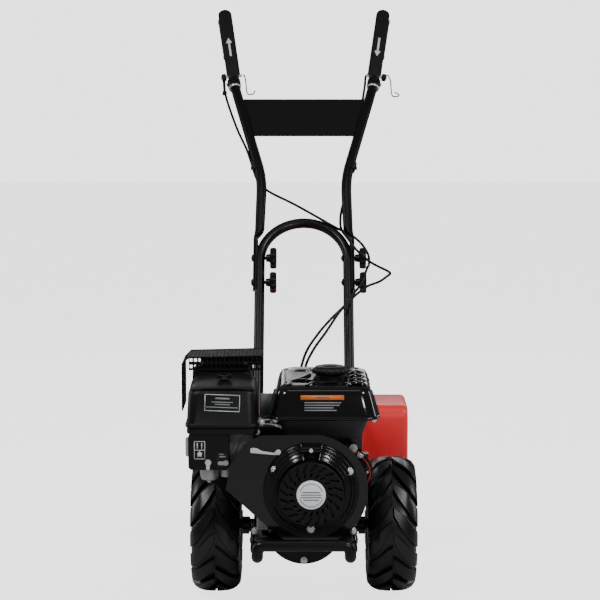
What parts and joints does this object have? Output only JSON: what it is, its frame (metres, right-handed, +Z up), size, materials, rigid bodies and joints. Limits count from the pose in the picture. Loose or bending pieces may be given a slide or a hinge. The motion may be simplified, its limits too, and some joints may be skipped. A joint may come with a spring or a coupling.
{
  "type": "tiller",
  "caption": "Petrol rear-tine tiller with front engine, drive wheels, worm gearbox, hooded tine rotors, folding tubular handlebar and clutch levers.",
  "frame": {"origin": "bottom centre of the bounding box, on the ground", "axes": "+Z up, +X to the right seen from the front, +Y from the engine towards the handlebar"},
  "size_m": [0.479, 1.2749, 1.2273],
  "materials": {
    "rim_paint": "satin black paint",
    "tyre": "matt black moulded rubber",
    "grip_rubber": "matt black rubber",
    "hood_red": "glossy red powder coat",
    "frame_black": "satin black powder coat",
    "tube_black": "satin black powder coat on tube",
    "gearbox_black": "painted casting, slightly rough",
    "engine_black": "glossy black paint",
    "gloss_black": "glossy black",
    "matte_black": "fine-grained black plastic",
    "alloy": "as-cast grey alloy",
    "steel": "machined steel",
    "zinc": "bright zinc plate",
    "bronze": "machined bronze",
    "tine_steel": "dark painted steel",
    "decal_light": "printed light grey decal",
    "decal_orange": "printed orange decal"
  },
  "bodies": {
    "chassis": {"gearbox_case": "gearbox_black", "gearbox_front_cover": "frame_black", "clutch_housing": "alloy", "tine_hood": "hood_red", "engine_frame": "frame_black", "front_bumper": "tube_black", "handle_bracket": "frame_black", "engine_crankcase": "engine_black", "cylinder_block": "alloy", "cylinder_head": "alloy", "rocker_cover": "engine_black", "spark_plug": "matte_black", "fan_shroud": "engine_black", "recoil_cover": "gloss_black", "fuel_tank": "gloss_black", "air_cleaner_cover": "gloss_black", "air_cleaner_base": "matte_black", "carburettor": "alloy", "muffler": "tine_steel", "muffler_guard": "frame_black", "handle_frame": "tube_black", "forward_cable": "matte_black", "reverse_cable": "matte_black"},
    "wheel_axle": {"axle_shaft": "steel", "axle_worm_wheel": "bronze", "rim_left": "rim_paint", "rim_right": "rim_paint", "tyre_left": "tyre", "tyre_right": "tyre"},
    "drive": {"drive_shaft": "steel"},
    "crank": {"crankshaft": "steel", "flywheel_fan": "alloy"},
    "tines": {"tine_shaft": "steel", "tine_worm_wheel": "bronze", "tine_rotor_left": "tine_steel", "tine_rotor_right": "tine_steel"},
    "handlebar": {"handlebar_tube_left": "tube_black", "handlebar_tube_right": "tube_black", "handle_panel": "frame_black", "grip_left": "grip_rubber", "grip_right": "grip_rubber", "lever_spring_left": "steel", "lever_spring_right": "zinc"},
    "forward_lever": {"forward_lever": "matte_black"},
    "reverse_lever": {"reverse_lever": "matte_black"},
    "knob_upper_left": {"clamp_knob_upper_left": "matte_black"},
    "knob_upper_right": {"clamp_knob_upper_right": "matte_black"},
    "knob_lower_left": {"clamp_knob_lower_left": "matte_black"},
    "knob_lower_right": {"clamp_knob_lower_right": "matte_black"},
    "starter": {"starter_grip": "matte_black"},
    "cap": {"fuel_cap": "matte_black"},
    "cleaner_nut": {"air_cleaner_knob": "matte_black"},
    "throttle": {"throttle_lever": "zinc"},
    "choke": {"choke_lever": "zinc"},
    "fuel_valve": {"fuel_valve_lever": "zinc"},
    "switch": {"engine_switch": "matte_black"},
    "skid": {"depth_skid": "frame_black"},
    "skid_screw": {"skid_clamp_screw": "zinc"},
    "flap": {"rear_flap": "grip_rubber"}
  },
  "joints": [
    {"name": "axle_spin", "type": "hinge", "parent": "chassis", "child": "wheel_axle", "pos_m": [0.008, -0.304, 0.14], "axis": [1, 0, 0], "continuous": true},
    {"name": "drive_spin", "type": "hinge", "parent": "chassis", "child": "drive", "pos_m": [0.008, -0.304, 0.195], "axis": [0, 1, 0], "continuous": true},
    {"name": "tine_spin", "type": "hinge", "parent": "chassis", "child": "tines", "pos_m": [0.008, 0.126, 0.15], "axis": [1, 0, 0], "continuous": true},
    {"name": "crank_spin", "type": "hinge", "parent": "chassis", "child": "crank", "pos_m": [0.022, -0.304, 0.265], "axis": [0, 1, 0], "continuous": true},
    {"name": "handlebar_fold", "type": "hinge", "parent": "chassis", "child": "handlebar", "pos_m": [0.008, 0.126, 0.6555], "axis": [1, 0, 0], "range_deg": [0, 100], "deforming": ["forward_cable", "reverse_cable"]},
    {"name": "forward_lever_pivot", "type": "hinge", "parent": "handlebar", "child": "forward_lever", "pos_m": [-0.16113, 0.45239, 1.06414], "axis": [-0.991, -0.0767, -0.1095], "range_deg": [0, 10], "stiffness_Nm_per_rad": 0.6, "springref_deg": -34.38},
    {"name": "reverse_lever_pivot", "type": "hinge", "parent": "handlebar", "child": "reverse_lever", "pos_m": [0.17713, 0.45239, 1.06414], "axis": [-0.991, 0.0767, 0.1095], "range_deg": [0, 10], "stiffness_Nm_per_rad": 0.6, "springref_deg": -34.38},
    {"name": "upper_left_knob_turn", "type": "hinge", "parent": "chassis", "child": "knob_upper_left", "pos_m": [-0.092, 0.126, 0.6555], "axis": [1, 0, 0], "continuous": true},
    {"name": "upper_right_knob_turn", "type": "hinge", "parent": "chassis", "child": "knob_upper_right", "pos_m": [0.108, 0.126, 0.6555], "axis": [1, 0, 0], "continuous": true},
    {"name": "lower_left_knob_turn", "type": "hinge", "parent": "chassis", "child": "knob_lower_left", "pos_m": [-0.092, 0.08986, 0.60389], "axis": [1, 0, 0], "continuous": true},
    {"name": "lower_right_knob_turn", "type": "hinge", "parent": "chassis", "child": "knob_lower_right", "pos_m": [0.108, 0.08986, 0.60389], "axis": [1, 0, 0], "continuous": true},
    {"name": "starter_pull", "type": "slide", "parent": "chassis", "child": "starter", "axis": [0, 0, 1], "range_m": [0, 0.4], "stiffness_N_per_m": 25, "springref_m": -0.4},
    {"name": "fuel_cap_turn", "type": "hinge", "parent": "chassis", "child": "cap", "pos_m": [0.0605, -0.446, 0.485], "axis": [0, 0, 1], "range_deg": [0, 90]},
    {"name": "cleaner_nut_turn", "type": "hinge", "parent": "chassis", "child": "cleaner_nut", "pos_m": [-0.149, -0.494, 0.478], "axis": [0, 0, 1], "continuous": true},
    {"name": "throttle_turn", "type": "hinge", "parent": "chassis", "child": "throttle", "pos_m": [-0.042, -0.571, 0.3415], "axis": [0, 1, 0], "range_deg": [-20, 20]},
    {"name": "choke_turn", "type": "hinge", "parent": "chassis", "child": "choke", "pos_m": [-0.144, -0.561, 0.318], "axis": [0, 1, 0], "range_deg": [0, 40]},
    {"name": "fuel_valve_turn", "type": "hinge", "parent": "chassis", "child": "fuel_valve", "pos_m": [-0.179, -0.563, 0.319], "axis": [0, 1, 0], "range_deg": [0, 90]},
    {"name": "engine_switch_turn", "type": "hinge", "parent": "chassis", "child": "switch", "pos_m": [0.124, -0.497, 0.303], "axis": [0, 1, 0], "range_deg": [0, 60]},
    {"name": "skid_height", "type": "slide", "parent": "chassis", "child": "skid", "axis": [0, 0, 1], "range_m": [-0.05, 0.05]},
    {"name": "skid_screw_turn", "type": "hinge", "parent": "chassis", "child": "skid_screw", "pos_m": [0.008, 0.346, 0.264], "axis": [0, 1, 0], "continuous": true},
    {"name": "flap_swing", "type": "hinge", "parent": "chassis", "child": "flap", "pos_m": [0.008, 0.2985, 0.195], "axis": [1, 0, 0], "range_deg": [0, 60]}
  ],
  "couplings": [
    {"joint": "drive_spin", "follows": "axle_spin", "ratio": 14},
    {"joint": "tine_spin", "follows": "axle_spin", "ratio": 4.6667}
  ]
}
